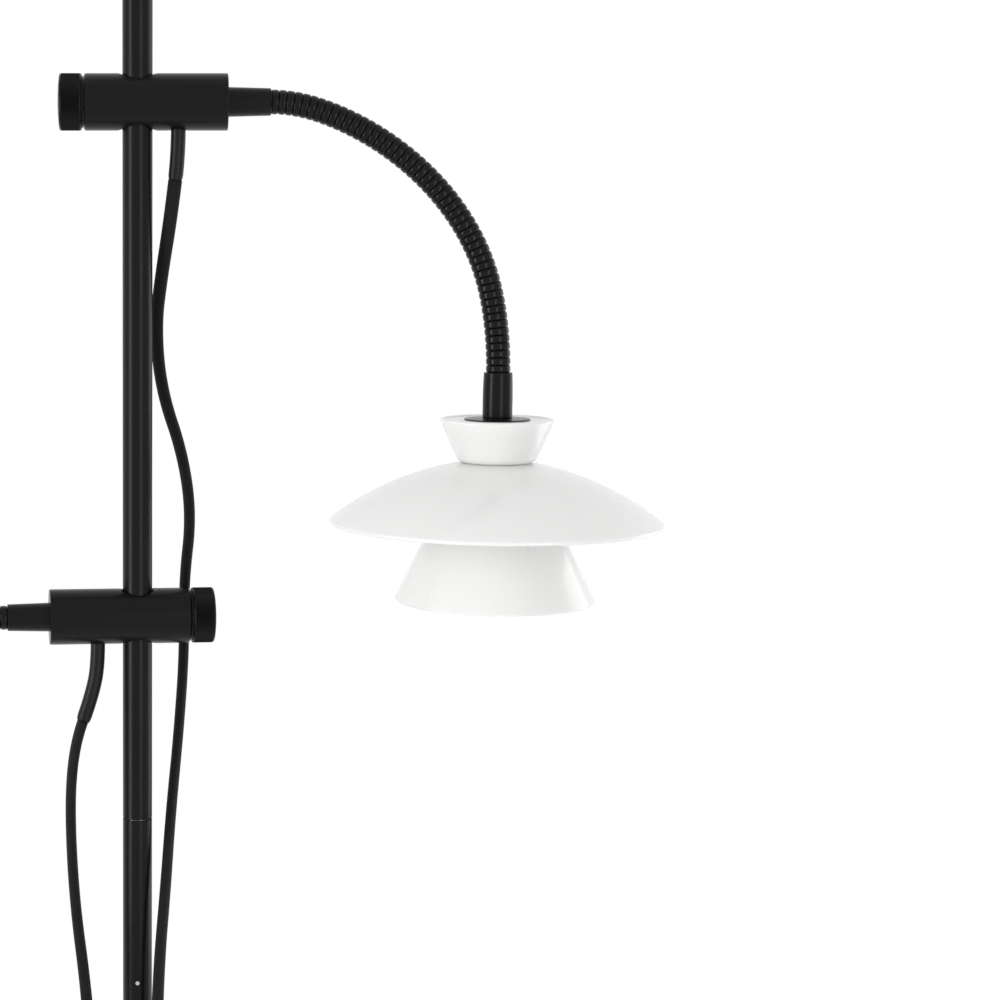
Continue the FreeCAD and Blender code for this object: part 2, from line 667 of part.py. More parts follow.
def shade():
    """The opal shade, its rim's top at z = 0: a bowl with a closed top, a dome and a skirt."""
    hole = NIPPLE_R + LOOSE
    lean = math.atan2(RIM_R - BOWL_SIDE_R, BOWL_SIDE_DEPTH)
    across = SHADE_WALL / math.cos(lean)
    plate_low = -RIM_RECESS - SHADE_PLATE
    inside_top = RIM_R + plate_low * math.tan(lean) - across
    corner = ((BOWL_SIDE_R + NECK_R) / 2, -(BOWL_SIDE_DEPTH + BOWL_DEPTH) / 2)
    bulge = 0.15 * math.hypot(BOWL_SIDE_R - NECK_R, BOWL_DEPTH - BOWL_SIDE_DEPTH)
    turn_in = math.atan2(BOWL_SIDE_R - NECK_R, BOWL_DEPTH - BOWL_SIDE_DEPTH)
    corner = (corner[0] + bulge * math.cos(turn_in), corner[1] - bulge * math.sin(turn_in))
    neck_in = NECK_R - SHADE_WALL
    lap = SHADE_WALL / 2
    bowl = turned([
        (hole, -RIM_RECESS), (RIM_R - SHADE_WALL, -RIM_RECESS),
        ((RIM_R - SHADE_WALL * 0.45, 0), (RIM_R - 0.1, -SHADE_WALL * 0.45)),
        (BOWL_SIDE_R, -BOWL_SIDE_DEPTH), (corner, (NECK_R, -BOWL_DEPTH)),
        (NECK_R, -BOWL_DEPTH - lap), (neck_in, -BOWL_DEPTH - lap), (neck_in, -BOWL_DEPTH),
        (BOWL_SIDE_R - across, -BOWL_SIDE_DEPTH), (inside_top, plate_low), (hole, plate_low),
    ])

    begin, finish = math.radians(DOME_START_SLOPE), math.radians(DOME_END_SLOPE)
    lip = SHADE_WALL / 2
    edge_r = DOME_R - lip
    bend = (edge_r - NECK_R) / (math.sin(finish) - math.sin(begin))
    centre = (NECK_R - bend * math.sin(begin), -BOWL_DEPTH - bend * math.cos(begin))

    def on_dome(slope, depth):
        reach = bend - depth
        return centre[0] + reach * math.sin(slope), centre[1] + reach * math.cos(slope)

    middle = (begin + finish) / 2
    edge = on_dome(finish, lip)
    round_edge = (edge[0] + lip * math.cos(finish), edge[1] - lip * math.sin(finish))
    dome = turned([
        (neck_in + lap, -BOWL_DEPTH - lap / 2), (NECK_R, -BOWL_DEPTH),
        (on_dome(middle, 0), on_dome(finish, 0)),
        (round_edge, on_dome(finish, SHADE_WALL)),
        (on_dome(middle, SHADE_WALL), on_dome(begin, SHADE_WALL)),
        (neck_in + lap, on_dome(begin, SHADE_WALL)[1]),
    ])

    flare = math.atan2(SKIRT_R - NECK_R, SHADE_HEIGHT - BOWL_DEPTH)
    thick = SHADE_WALL / math.cos(flare)
    low = -SHADE_HEIGHT
    skirt = turned([
        (neck_in, -BOWL_DEPTH), (NECK_R, -BOWL_DEPTH), (SKIRT_R - 0.3, low + 0.8),
        ((SKIRT_R - thick / 2, low), (SKIRT_R - thick + 0.1, low + 0.6)),
        (neck_in, -BOWL_DEPTH - (thick - SHADE_WALL) / math.tan(flare)),
    ])
    return fused(bowl, dome, skirt)


def lamp_holder():
    """Hung on the nipple under the shade's top, its upper face at z = 0."""
    return turned([
        (NIPPLE_R + SEAT, 0), (HOLDER_R - 1.5, 0), (HOLDER_R, -1.5), (HOLDER_R, -HOLDER_LENGTH + 1.0),
        (HOLDER_R - 1.0, -HOLDER_LENGTH), (HOLDER_BORE, -HOLDER_LENGTH),
        (HOLDER_BORE, -HOLDER_LENGTH + BULB_CAP_IN + LOOSE),
        (NIPPLE_BORE_R, -HOLDER_LENGTH + BULB_CAP_IN + LOOSE),
        (NIPPLE_BORE_R, -NIPPLE_IN_HOLDER - SEAT), (NIPPLE_R + SEAT, -NIPPLE_IN_HOLDER - SEAT),
    ])


def bulb():
    """A small round bulb, its glass starting at z = 0 and its cap above."""
    low = -BULB_LENGTH
    waist = low + BULB_R + BULB_R * 0.62
    waist_r = BULB_R * math.cos(math.asin(0.62))
    return turned([
        (0, BULB_CAP_IN), (3.0, BULB_CAP_IN), (BULB_CAP_R, BULB_CAP_IN - 4.0), (BULB_CAP_R, -LOOSE),
        (BULB_CAP_R + 2.0, -LOOSE), (waist_r, waist),
        ((BULB_R, low + BULB_R), (BULB_R * math.sin(math.radians(70)),
                                  low + BULB_R - BULB_R * math.cos(math.radians(70)))),
        ((BULB_R * math.sin(math.radians(35)), low + BULB_R - BULB_R * math.cos(math.radians(35))),
         (0, low)),
    ])


# ---------------------------------------------------------------- one arm

def make_arm(side, height, heading, sleeve_route):
    place = Placement(Vector(0, 0, height), Rotation(Vector(0, 0, 1), heading))

    def keep(name, shape):
        save(side + "_" + name, shape.transformed(place.toMatrix()))

    liner = pipe(LINER_R, LINER_BORE, -LINER_HEIGHT / 2, LINER_HEIGHT / 2)
    keep("liner", liner)
    keep("clamp_body", clamp_body())
    keep("knob", knob())
    keep("clamp_screw", level(SCREW_R, -KNOB_BACK - SCREW_IN_KNOB, -SCREW_TIP))
    keep("pressure_pad", pressure_pad())
    keep("clamp_ferrule", clamp_ferrule())
    keep("cord_sleeve", flex(side + "_cord_sleeve", sleeve_route, SLEEVE_R))

    path = Path()
    for link in range(len(LINK_RIBS)):
        keep("hose_%d" % (link + 1), hose_link(path, link))

    end_x, end_z = path.end
    flange_z = end_z - HEAD_FERRULE
    plate_z = flange_z - FLANGE_THICK
    holder_z = plate_z - SHADE_PLATE
    bulb_z = holder_z - HOLDER_LENGTH

    def hang(name, shape, z):
        shape.translate(Vector(end_x, 0, z))
        keep(name, shape)

    hang("head_ferrule", head_ferrule(), end_z)
    hang("flange", flange(), flange_z)
    nipple_top = flange_z + NIPPLE_IN_FERRULE
    nipple = pipe(NIPPLE_R, NIPPLE_BORE_R, holder_z - NIPPLE_IN_HOLDER, nipple_top)
    hang("nipple", nipple, 0)
    hang("shade", shade(), plate_z + RIM_RECESS)
    hang("lamp_holder", lamp_holder(), holder_z)
    hang("bulb", bulb(), bulb_z)
    print(side, "hose", round(path.length, 1), "mm, head at", round(end_x, 2), round(end_z, 2),
          "rim", round(plate_z + RIM_RECESS, 2))
    return path


# ---------------------------------------------------------------- switch box, cords and plug

def rounded_box(x0, x1, y0, y1, z0, z1, corner):
    box = Part.makeBox(x1 - x0, y1 - y0, z1 - z0, Vector(x0, y0, z0))
    tall = [e for e in box.Edges if abs(e.tangentAt(e.FirstParameter).z) > 0.9]
    return box.makeFillet(corner, tall)


def make_switch_box():
    shell = rounded_box(-BOX_HALF_WIDTH, BOX_HALF_WIDTH, -BOX_FRONT, BOX_BACK, BOX_BOTTOM, BOX_TOP,
                        BOX_CORNER)
    shell = shell.cut(upright(BOX_HOLE, BOX_BOTTOM - 1, BOX_TOP + 1))
    wide = 2 * BOX_HALF_WIDTH
    rear = Part.makeBox(2 * wide, wide, 2 * BOX_HEIGHT, Vector(-wide, 0, BOX_BOTTOM - BOX_HEIGHT / 2))
    save("switch_back", shell.common(rear))

    front = shell.cut(rear)
    inside = BOX_HALF_WIDTH - BOX_WALL
    room_back = -BOX_HOLE - BOX_WALL / 2
    room = Part.makeBox(2 * inside, BOX_FRONT - BOX_WALL + room_back, BOX_HEIGHT - 2 * BOX_WALL,
                        Vector(-inside, -BOX_FRONT + BOX_WALL, BOX_BOTTOM + BOX_WALL))
    middle = (BOX_BOTTOM + BOX_TOP) / 2
    button_hole = rod(BUTTON_R + LOOSE, (0, -BOX_FRONT - 1, middle), (0, -BOX_FRONT + BOX_WALL + 1, middle))
    front = front.cut([room, button_hole])
    boots = []
    for x in BOOT_X:
        foot = Vector(x, BOOT_Y, BOX_BOTTOM)
        boots.append(Part.makeCone(BOOT_R, BOOT_TIP_R, BOOT_LENGTH, foot, Vector(0, 0, -1)))
    save("switch_box", fused(front, *boots))

    face = -BOX_FRONT - BUTTON_OUT
    wall_in = -BOX_FRONT + BOX_WALL + LOOSE
    button = Part.makeCone(BUTTON_R - 0.8, BUTTON_R, 0.8, Vector(0, face, middle), Vector(0, 1, 0))
    stalk = rod(BUTTON_R, (0, face + 0.8, middle), (0, face + BUTTON_LENGTH, middle))
    brim = rod(BUTTON_R + BUTTON_RIM, (0, wall_in, middle), (0, wall_in + BUTTON_FLANGE, middle))
    save("switch_button", fused(button, stalk, brim))


def make_clips():
    """Each clip is a ring on the pole, open behind it, with a smaller ring in front for the lead."""
    clips = []
    for z in CLIP_Z:
        low, high = z - CLIP_HEIGHT / 2, z + CLIP_HEIGHT / 2
        ring = upright(TUBE_R + CLIP_WALL, low, high)
        hook = upright(CORD_R + CLIP_PLAY + CLIP_WALL, low, high, 0, CLIPPED_Y)
        slot = Part.makeBox(CLIP_MOUTH, 2 * TUBE_R, CLIP_HEIGHT, Vector(-CLIP_MOUTH / 2, 0, low))
        clips.append(fused(ring, hook).cut([upright(TUBE_R + SEAT, low, high),
                                            upright(CORD_R + CLIP_PLAY, low, high, 0, CLIPPED_Y), slot]))
    save("cord_clips", Part.makeCompound(clips))


def coil_place(turn):
    """Where the coiled lead is after so many turns: inwards, up one layer, and outwards again. The coil is set
    round so that its free end heads along -X."""
    inward = COIL_TURNS / 2
    radius = COIL_R - COIL_PITCH * (inward - abs(turn - inward))
    share = min(max((turn - inward) / COIL_CLIMB + 0.5, 0.0), 1.0)
    z = CORD_R + COIL_LAYER * (1 - math.cos(math.pi * share)) / 2
    angle = 2 * math.pi * turn - math.pi / 2 + math.atan(COIL_PITCH / (2 * math.pi * COIL_R))
    return Vector(COIL_CENTRE[0] + radius * math.cos(angle), COIL_CENTRE[1] + radius * math.sin(angle), z)


def coil_way(turn, step=1e-4):
    return (coil_place(turn + step) - coil_place(turn - step)).normalize()


def make_coil():
    tube, length = wound(coil_place, coil_way, COIL_TURNS, CORD_R, COIL_END, COIL_END)
    print("cord_coil: %.0f mm of flex, least gap %.2f mm, volume share %.4f"
          % (length, least_gap(coil_place, COIL_TURNS, CORD_R), tube.Volume / (math.pi * CORD_R ** 2 * length)))
    save("cord_coil", tube)


def make_supply():
    """The supply lead, whose last stretch runs straight into the coil's first one."""
    way = coil_way(0)
    end = coil_place(0) - way * COIL_END
    before = end - way * COIL_LEAD_IN
    print("supply lead ends at", [[round(v, 3) for v in p] for p in (before, end)])
    save("supply_cord", flex("supply_cord", SUPPLY_ROUTE + [tuple(before), tuple(end)], CORD_R))


def make_plug():
    """The plug lies flat beyond the coil's free end. It is made along +X, then turned in place."""
    heading = coil_way(COIL_TURNS)
    start = coil_place(COIL_TURNS) + heading * COIL_END
    turn = math.degrees(math.atan2(heading.y, heading.x))
    place = Placement(start, Rotation(Vector(0, 0, 1), turn)).toMatrix()
    boot = Part.makeCone(BOOT_TIP_R, BOOT_R + 1.0, PLUG_BOOT, Vector(), Vector(1, 0, 0))
    body = Part.makeBox(PLUG_LENGTH, PLUG_WIDTH, 2 * PLUG_AXIS_Z,
                        Vector(PLUG_BOOT, -PLUG_WIDTH / 2, -PLUG_AXIS_Z))
    corners = [e for e in body.Edges if abs(e.tangentAt(e.FirstParameter).z) > 0.9]
    body = body.makeFillet(PLUG_EDGE, corners)
    save("plug_body", fused(body, boot).transformed(place))
    face = PLUG_BOOT + PLUG_LENGTH
    pins = []
    for side in (-1, 1):
        y = side * PIN_SPACING / 2
        tip = face + PIN_LENGTH
        pins.append(turned([(0, face), (PIN_R, face), (PIN_R, tip - PIN_EDGE), (PIN_R - PIN_EDGE, tip), (0, tip)],
                           Vector(1, 0, 0)).translated(Vector(0, y, 0)))
        middle = start + Rotation(Vector(0, 0, 1), turn).multVec(Vector((face + tip - PIN_EDGE) / 2, y, 0))
        print("plug pin, middle", [round(v, 6) for v in middle], "heading", [round(v, 8) for v in heading])
    save("plug_pins", Part.makeCompound(pins).transformed(place))


def main():
    os.makedirs("parts", exist_ok=True)
    make_pole()
    make_arm("upper", UPPER_CLAMP_Z, UPPER_HEADING, UPPER_SLEEVE_ROUTE)
    path = make_arm("lower", LOWER_CLAMP_Z, LOWER_HEADING, LOWER_SLEEVE_ROUTE)
    for arc in path.arcs[1:]:
        point, ahead = path.at(arc[0])
        print("hinge", [round(v, 4) for v in point], "heading", [round(v, 5) for v in ahead])
    save("upper_cord", flex("upper_cord", hung(UPPER_LEAD, UPPER_CLAMP_Z - UPPER_LEAD_BELOW), CORD_R))
    save("lower_cord", flex("lower_cord", hung(LOWER_LEAD, LOWER_CLAMP_Z - LOWER_LEAD_BELOW), CORD_R))
    make_supply()
    make_switch_box()
    make_clips()
    make_coil()
    make_plug()


main()
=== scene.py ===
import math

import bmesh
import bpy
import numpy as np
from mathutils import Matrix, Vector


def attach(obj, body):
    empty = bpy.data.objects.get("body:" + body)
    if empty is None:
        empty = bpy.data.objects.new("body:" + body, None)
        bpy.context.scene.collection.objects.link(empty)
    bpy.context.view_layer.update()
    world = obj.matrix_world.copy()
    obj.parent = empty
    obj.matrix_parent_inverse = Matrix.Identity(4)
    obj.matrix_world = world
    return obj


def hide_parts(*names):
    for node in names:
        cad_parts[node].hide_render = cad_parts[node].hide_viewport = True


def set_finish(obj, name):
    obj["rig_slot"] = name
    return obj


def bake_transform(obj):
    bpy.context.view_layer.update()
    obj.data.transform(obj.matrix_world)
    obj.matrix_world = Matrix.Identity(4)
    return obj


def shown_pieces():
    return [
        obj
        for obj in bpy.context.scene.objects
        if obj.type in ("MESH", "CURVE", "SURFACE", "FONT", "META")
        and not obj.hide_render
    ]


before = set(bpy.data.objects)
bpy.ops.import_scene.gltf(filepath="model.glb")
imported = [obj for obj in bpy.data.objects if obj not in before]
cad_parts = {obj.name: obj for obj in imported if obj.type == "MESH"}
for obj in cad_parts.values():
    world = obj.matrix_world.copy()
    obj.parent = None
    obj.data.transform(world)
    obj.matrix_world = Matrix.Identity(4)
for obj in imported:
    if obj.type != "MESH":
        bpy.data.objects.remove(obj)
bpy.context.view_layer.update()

# %% [markdown]
# # A tension pole lamp, dressed over its CAD frame
#
# The pole, its clamps, its shades and its fittings come in from the CAD model, already in place and in
# metres. This file adds what CAD leaves plain: the goosenecks' rounded ribs, the woven leads, the shrink
# sleeves, the knurled knobs, and a finish for every surface. Each step says what the piece is on the real
# lamp and how it is made.

MM = 0.001

# %% [markdown]
# ## The camera
#
# The photograph is a crop from a wider picture: the pole stands dead upright although it is far from the
# picture's middle. A camera that is turned towards a thing makes it lean, so this one looks straight at the
# pole and its lens is shifted sideways instead. It looks down a little, which opens the rims into thin
# ellipses.

# %% Camera
PHOTO_PIXELS = 1000
POLE_PIXEL = 137.5          # where the pole stands in the photograph, of 1000 across
SENSOR_WIDTH = 36.0
FOCAL_PIXELS = 2300.0
CAMERA_AWAY = 1231.6 * MM
CAMERA_HEIGHT = 1532.9 * MM
LOOKS_DOWN = math.radians(6.7)

camera_data = bpy.data.cameras.new("camera")
camera_data.sensor_width = SENSOR_WIDTH
camera_data.lens = FOCAL_PIXELS / PHOTO_PIXELS * SENSOR_WIDTH
camera_data.shift_x = (PHOTO_PIXELS / 2 - POLE_PIXEL) / PHOTO_PIXELS
camera = bpy.data.objects.new("camera", camera_data)
camera.location = (0, -CAMERA_AWAY, CAMERA_HEIGHT)
camera.rotation_euler = (math.radians(90) - LOOKS_DOWN, 0, 0)
bpy.context.scene.collection.objects.link(camera)
bpy.context.scene.camera = camera
print("lens", round(camera_data.lens, 1), "mm, shifted", camera_data.shift_x)

# %% [markdown]
# ## Colours and nodes
#
# Colours are written as the hex values that a colour chart gives. Blender mixes light in linear values, so
# one function turns a hex value into them. A second small function adds a shader node with its settings and
# links.

# %% Helpers for materials
def linear(hex_code):
    """The linear colour of an sRGB hex value."""
    parts = [int(hex_code[k:k + 2], 16) / 255 for k in (1, 3, 5)]
    return tuple(p / 12.92 if p <= 0.04045 else ((p + 0.055) / 1.055) ** 2.4 for p in parts) + (1.0,)


def add_node(tree, kind, settings=None, links=None):
    """A shader node. Settings name its properties or its inputs, and links give an input its source."""
    new = tree.nodes.new(kind)
    for name, value in (settings or {}).items():
        if isinstance(name, str) and hasattr(new, name):
            setattr(new, name, value)
        else:
            new.inputs[name].default_value = value
    for name, source in (links or {}).items():
        tree.links.new(source, new.inputs[name])
    return new


def new_material(name, settings):
    """A material with one Principled surface, and that surface's node."""
    material = bpy.data.materials.new(name)
    material.use_nodes = True
    surface = material.node_tree.nodes["Principled BSDF"]
    for socket, value in settings.items():
        surface.inputs[socket].default_value = value
    return material, surface


# %% [markdown]
# ## Cords first
#
# Each arm's lead is a two-core flex in a black textile braid, a little wider than it is thick. It leaves
# the clamp in a shrink sleeve, hangs down beside the pole in lazy waves, and goes up into the switch box
# from below after a spare loop. A smooth spline through the same points as the CAD route gives its line,
# and a mesh tube follows points read from that spline, because only a mesh can be flat, twist slowly and
# carry a woven pattern.

# %% The leads' routes, in millimetres, as in the CAD model
UPPER_ROUTE = [
    (20.0, 0.0, 1559.0), (17.6, 0.0, 1539.0), (12.9, 5.5, 1509.0), (9.6, 11.6, 1481.0),
    (13.0, 12.8, 1446.0), (24.6, 14.6, 1412.0), (29.6, 20.0, 1377.0), (25.6, 25.0, 1340.0),
    (25.9, 24.6, 1300.0), (22.8, 20.0, 1256.0), (18.4, 9.0, 1214.0), (15.4, -6.5, 1176.0),
    (12.0, -15.5, 1139.0), (10.4, -18.0, 1098.0), (18.5, -14.0, 1056.0), (31.5, -2.0, 1014.0),
    (40.5, 9.0, 965.0), (44.0, 13.4, 912.0), (42.6, 13.0, 860.0), (43.5, 12.5, 822.0),
    (43.5, 12.5, 790.0), (28.0, -2.5, 777.6), (12.5, -17.5, 790.0), (13.6, -17.0, 829.0),
    (12.5, -17.5, 864.0), (12.5, -17.5, 887.0),
]
LOWER_ROUTE = [
    (-29.7, -2.6, 1267.4), (-33.5, -2.9, 1256.7), (-36.6, -4.0, 1231.0), (-36.2, -6.0, 1198.0),
    (-33.6, -8.8, 1162.0), (-28.6, -11.8, 1124.0), (-25.6, -11.0, 1085.0), (-28.5, -4.0, 1046.0),
    (-36.5, 5.0, 1004.0), (-43.0, 12.0, 958.0), (-43.0, 13.4, 910.0), (-44.3, 12.8, 862.0),
    (-43.5, 12.5, 820.0), (-28.0, -2.5, 807.6), (-12.5, -17.5, 820.0), (-13.4, -16.9, 846.0),
    (-12.5, -17.5, 867.0), (-12.5, -17.5, 887.0),
]
SUPPLY_ROUTE = [
    (0.0, -17.5, 887.0), (0.0, -17.5, 866.0), (-0.5, -14.6, 828.0), (0.4, -12.6, 780.0),
    (0.0, -11.9, 730.0), (0.9, -12.8, 655.0), (-0.6, -12.7, 580.0), (0.3, -12.7, 505.0),
    (0.0, -11.9, 430.0), (-0.8, -12.9, 345.0), (0.5, -12.6, 258.0), (0.0, -11.9, 175.0),
    (1.3, -13.0, 123.0), (9.0, -17.0, 76.0), (26.0, -22.0, 34.0), (53.0, -25.0, 8.5),
    (86.0, -25.9, 3.3), (118.187, -24.692, 3.3), (146.553, -23.308, 3.3),
]


# %% [markdown]
# The routes are control points, as a draughtsman sets them, and the cord bends smoothly between them.
# Reading the spline back as a mesh gives close points that lie on it exactly.

# %% A smooth line through a route, read back as close points
def smooth_line(route, steps=14):
    """Points close together along the NURBS spline whose control points are the route's, in metres."""
    curve = bpy.data.curves.new("route", "CURVE")
    curve.dimensions = "3D"
    spline = curve.splines.new("NURBS")
    spline.points.add(len(route) - 1)
    for point, place in zip(spline.points, route):
        point.co = (place[0] * MM, place[1] * MM, place[2] * MM, 1)
    spline.order_u = 3
    spline.use_endpoint_u = True
    spline.resolution_u = steps
    holder = bpy.data.objects.new("route", curve)
    bpy.context.scene.collection.objects.link(holder)
    bpy.context.view_layer.update()
    mesh = bpy.data.meshes.new_from_object(holder)
    line = np.array([v.co for v in mesh.vertices])
    bpy.data.objects.remove(holder)
    bpy.data.meshes.remove(mesh)
    return line


def line_length(line):
    return float(np.linalg.norm(np.diff(line, axis=0), axis=1).sum())


# %% [markdown]
# A two-core flex is flat, and hangs with a lazy twist. Its skin is made ring by ring: each ring is an
# ellipse square to the line, turned a little further than the last. Its UVs carry the weave, once round and
# in metres along.

# %% A flat, slowly twisting tube along such a line
def flex_tube(name, line, width, height, twist=lambda share: 0.0, sides=24, start=0.0):
    """A closed tube with UVs: U once round, V in metres along, counted from start."""
    ahead = np.gradient(line, axis=0)
    ahead /= np.linalg.norm(ahead, axis=1)[:, None]
    across = np.cross(ahead[0], (0, 1, 0))
    run = np.concatenate([[0.0], np.cumsum(np.linalg.norm(np.diff(line, axis=0), axis=1))])
    verts, faces, uvs = [], [], []
    for k, (point, way) in enumerate(zip(line, ahead)):
        across = across - way * np.dot(across, way)
        across /= np.linalg.norm(across)
        up = np.cross(way, across)
        turn = twist(run[k] / run[-1])
        for side in range(sides):
            angle = 2 * math.pi * side / sides
            u, v = math.cos(angle) * width / 2, math.sin(angle) * height / 2
            a = u * math.cos(turn) - v * math.sin(turn)
            b = u * math.sin(turn) + v * math.cos(turn)
            verts.append(point + across * a + up * b)
    for k in range(len(line) - 1):
        for side in range(sides):
            after = (side + 1) % sides
            this, following = k * sides, (k + 1) * sides
            faces.append((this + side, this + after, following + after, following + side))
            low, high = start + run[k], start + run[k + 1]
            left, right = side / sides, (side + 1) / sides
            uvs += [(left, low), (right, low), (right, high), (left, high)]
    last = len(verts) - sides
    for ring in (list(range(sides))[::-1], list(range(last, last + sides))):
        faces.append(tuple(ring))
        uvs += [(0.0, start)] * sides
    mesh = bpy.data.meshes.new(name)
    mesh.from_pydata([tuple(v) for v in verts], [], faces)
    layer = mesh.uv_layers.new(name="along")
    for corner, uv in zip(layer.data, uvs):
        corner.uv = uv
    for polygon in mesh.polygons:
        polygon.use_smooth = len(polygon.vertices) == 4
    tube = bpy.data.objects.new(name, mesh)
    bpy.context.scene.collection.objects.link(tube)
    fix_normals(tube)
    return tube


def fix_normals(piece):
    """Turns every face of a closed mesh outwards."""
    shape = bmesh.new()
    shape.from_mesh(piece.data)
    bmesh.ops.recalc_face_normals(shape, faces=shape.faces)
    shape.to_mesh(piece.data)
    shape.free()


# %% [markdown]
# The top of a lead turns with its clamp, while the rest only slides up and down with it. So each lead is
# cut once, under its sleeve, into two pieces.

# %% The two arm leads
FLEX_WIDTH = 7.6 * MM
FLEX_THICK = 5.7 * MM
SPLIT_BELOW = 52 * MM       # how far below the lead's start it is cut in two


def arm_lead(side, route, twist):
    """One lead in two pieces, split below the clamp."""
    line = smooth_line(route)
    split = int(np.argmax(line[:, 2] < line[0, 2] - SPLIT_BELOW))
    top = flex_tube(side + "_lead_top", line[:split + 1], FLEX_WIDTH, FLEX_THICK,
                    lambda share: twist(share * split / len(line)))
    share_at = split / len(line)
    rest = flex_tube(side + "_lead", line[split:], FLEX_WIDTH, FLEX_THICK,
                     lambda share: twist(share_at + share * (1 - share_at)),
                     start=line_length(line[:split + 1]))
    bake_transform(top)
    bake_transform(rest)
    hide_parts(side + "_cord")
    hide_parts(side + "_cord")
    for piece in (top, rest):
        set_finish(piece, "black_textile")
    print(side, "lead", round(line_length(line), 3), "m")


arm_lead("upper", UPPER_ROUTE, lambda share: 0.3 + 4.0 * share)
arm_lead("lower", LOWER_ROUTE, lambda share: 1.2 + 3.0 * share)

# %% [markdown]
# ## The supply lead and its coil
#
# The mains lead leaves the box, runs down the pole under its clips and sweeps out to the floor. What isn't
# needed is wound up beside the foot: the turns spiral in, climb a layer and spiral out again, and the plug
# lies beside them, square to the pole. All of it is one spline, so the coil's turns are simply more of its
# points.

# %% Supply lead
FLEX_ROUND = 6.6
COIL_CENTRE = (152.0, 24.0)
COIL_R = 47.0
COIL_PITCH = 7.2
COIL_LAYER = 7.1
COIL_TURNS = 6.5
COIL_END = 6.6
COIL_CLIMB = 0.5            # how much of a turn the lead takes to climb onto the second layer
COIL_STEPS = 24             # points for each turn


def coil_point(turn):
    """Where the coiled lead is after so many turns, in millimetres."""
    inward = COIL_TURNS / 2
    radius = COIL_R - COIL_PITCH * (inward - abs(turn - inward))
    share = min(max((turn - inward) / COIL_CLIMB + 0.5, 0.0), 1.0)
    z = FLEX_ROUND / 2 + COIL_LAYER * (1 - math.cos(math.pi * share)) / 2
    angle = 2 * math.pi * turn - math.pi / 2 + math.atan(COIL_PITCH / (2 * math.pi * COIL_R))
    return (COIL_CENTRE[0] + radius * math.cos(angle), COIL_CENTRE[1] + radius * math.sin(angle), z)


coil_route = [coil_point(k / COIL_STEPS) for k in range(int(COIL_TURNS * COIL_STEPS) + 1)]
tail = (coil_route[-1][0] - COIL_END, coil_route[-1][1], coil_route[-1][2])
supply_line = smooth_line(SUPPLY_ROUTE + coil_route + [tail], steps=6)
supply = flex_tube("supply_lead", supply_line, FLEX_ROUND * MM, FLEX_ROUND * MM, sides=16)
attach(supply, "pole")
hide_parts("supply_cord", "cord_coil")
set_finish(supply, "black_textile")
print("supply lead", round(line_length(supply_line), 3), "m")

# %% [markdown]
# ## The goosenecks
#
# Each gooseneck is a ribbed steel hose: broad round ribs with narrow grooves between them. The CAD model
# cuts it into stiff lengths with knuckles; the real one is a single skin. A straight hose is turned on the
# lathe here, by spinning the outline of its ribs, and is then laid along the arm's curve with a Curve
# modifier. It is cut only in its grooves, where nobody sees it, into lengths that each take the place of
# CAD lengths.

# %% The arm's curve, from the clamp's ferrule down to the head
HOSE_START = 70.5
LINKS = [24, 36, 36, 36, 36, 40]
TURNS = [18.0, 13.6, 13.4, 15.5, 18.0, 11.5]
HOSE_END = (193.18, -142.95)


SMOOTHED_OVER = 24          # how far the changes of bend are spread along the hose, in millimetres


def hose_centre_line(step=0.25):
    """Places along the hose and their distance from its start, in the arm's own plane, in millimetres."""
    rate = np.concatenate([np.full(int(length / step), turn / length) for length, turn in zip(LINKS, TURNS)])
    window = int(SMOOTHED_OVER / step)
    padded = np.concatenate([np.full(window, rate[0]), rate, np.full(window, rate[-1])])
    rate = np.convolve(padded, np.ones(window) / window, "same")[window:-window]
    heading = np.radians(np.concatenate([[0.0], np.cumsum(rate * step)]))
    heading *= math.radians(90) / heading[-1]
    middle = (heading[1:] + heading[:-1]) / 2
    x = HOSE_START + np.concatenate([[0.0], np.cumsum(np.cos(middle) * step)])
    z = -np.concatenate([[0.0], np.cumsum(np.sin(middle) * step)])
    run = np.arange(len(x)) * step
    x += (HOSE_END[0] - x[-1]) * run / run[-1]
    z += (HOSE_END[1] - z[-1]) * run / run[-1]
    return run, x, z


HOSE_RUN, HOSE_X, HOSE_Z = hose_centre_line()
print("hose", HOSE_RUN[-1], "mm long")

# %% Where an arm stands
ARMS = {"upper": (1600.0, 0.0), "lower": (1325.0, 185.0)}     # clamp height in mm, heading in degrees


def arm_place(side):
    """The matrix that carries an arm's own frame, in millimetres, into the lamp's, in metres."""
    height, heading = ARMS[side]
    return (Matrix.Translation((0, 0, height * MM)) @ Matrix.Rotation(math.radians(heading), 4, "Z")
            @ Matrix.Scale(MM, 4))


# %% [markdown]
# Modelling by hand has its habits: pick one thing, apply what was set up, and put a finished piece in its
# place. Three short functions keep them.

# %% Small habits for modelling by hand
def only(piece):
    """Selects one object and nothing else, and makes it the active one."""
    bpy.ops.object.select_all(action="DESELECT")
    piece.select_set(True)
    bpy.context.view_layer.objects.active = piece


def apply_modifiers(piece):
    only(piece)
    for modifier in list(piece.modifiers):
        bpy.ops.object.modifier_apply(modifier=modifier.name)


def settle(piece, name, body, slot, *replaced):
    """Names a finished piece, puts its place into its mesh and lets it ride on its CAD body."""
    only(piece)
    bpy.ops.object.transform_apply(location=True, rotation=True, scale=True)
    piece.name = piece.data.name = name
    if body:
        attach(piece, body)
    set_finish(piece, slot)
    if replaced:
        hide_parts(*replaced)
    return piece


# %% [markdown]
# A rib's outline is a flattened arch, full at the crest and steep into the groove. One row of them, spun
# once round the axis, is a straight hose.

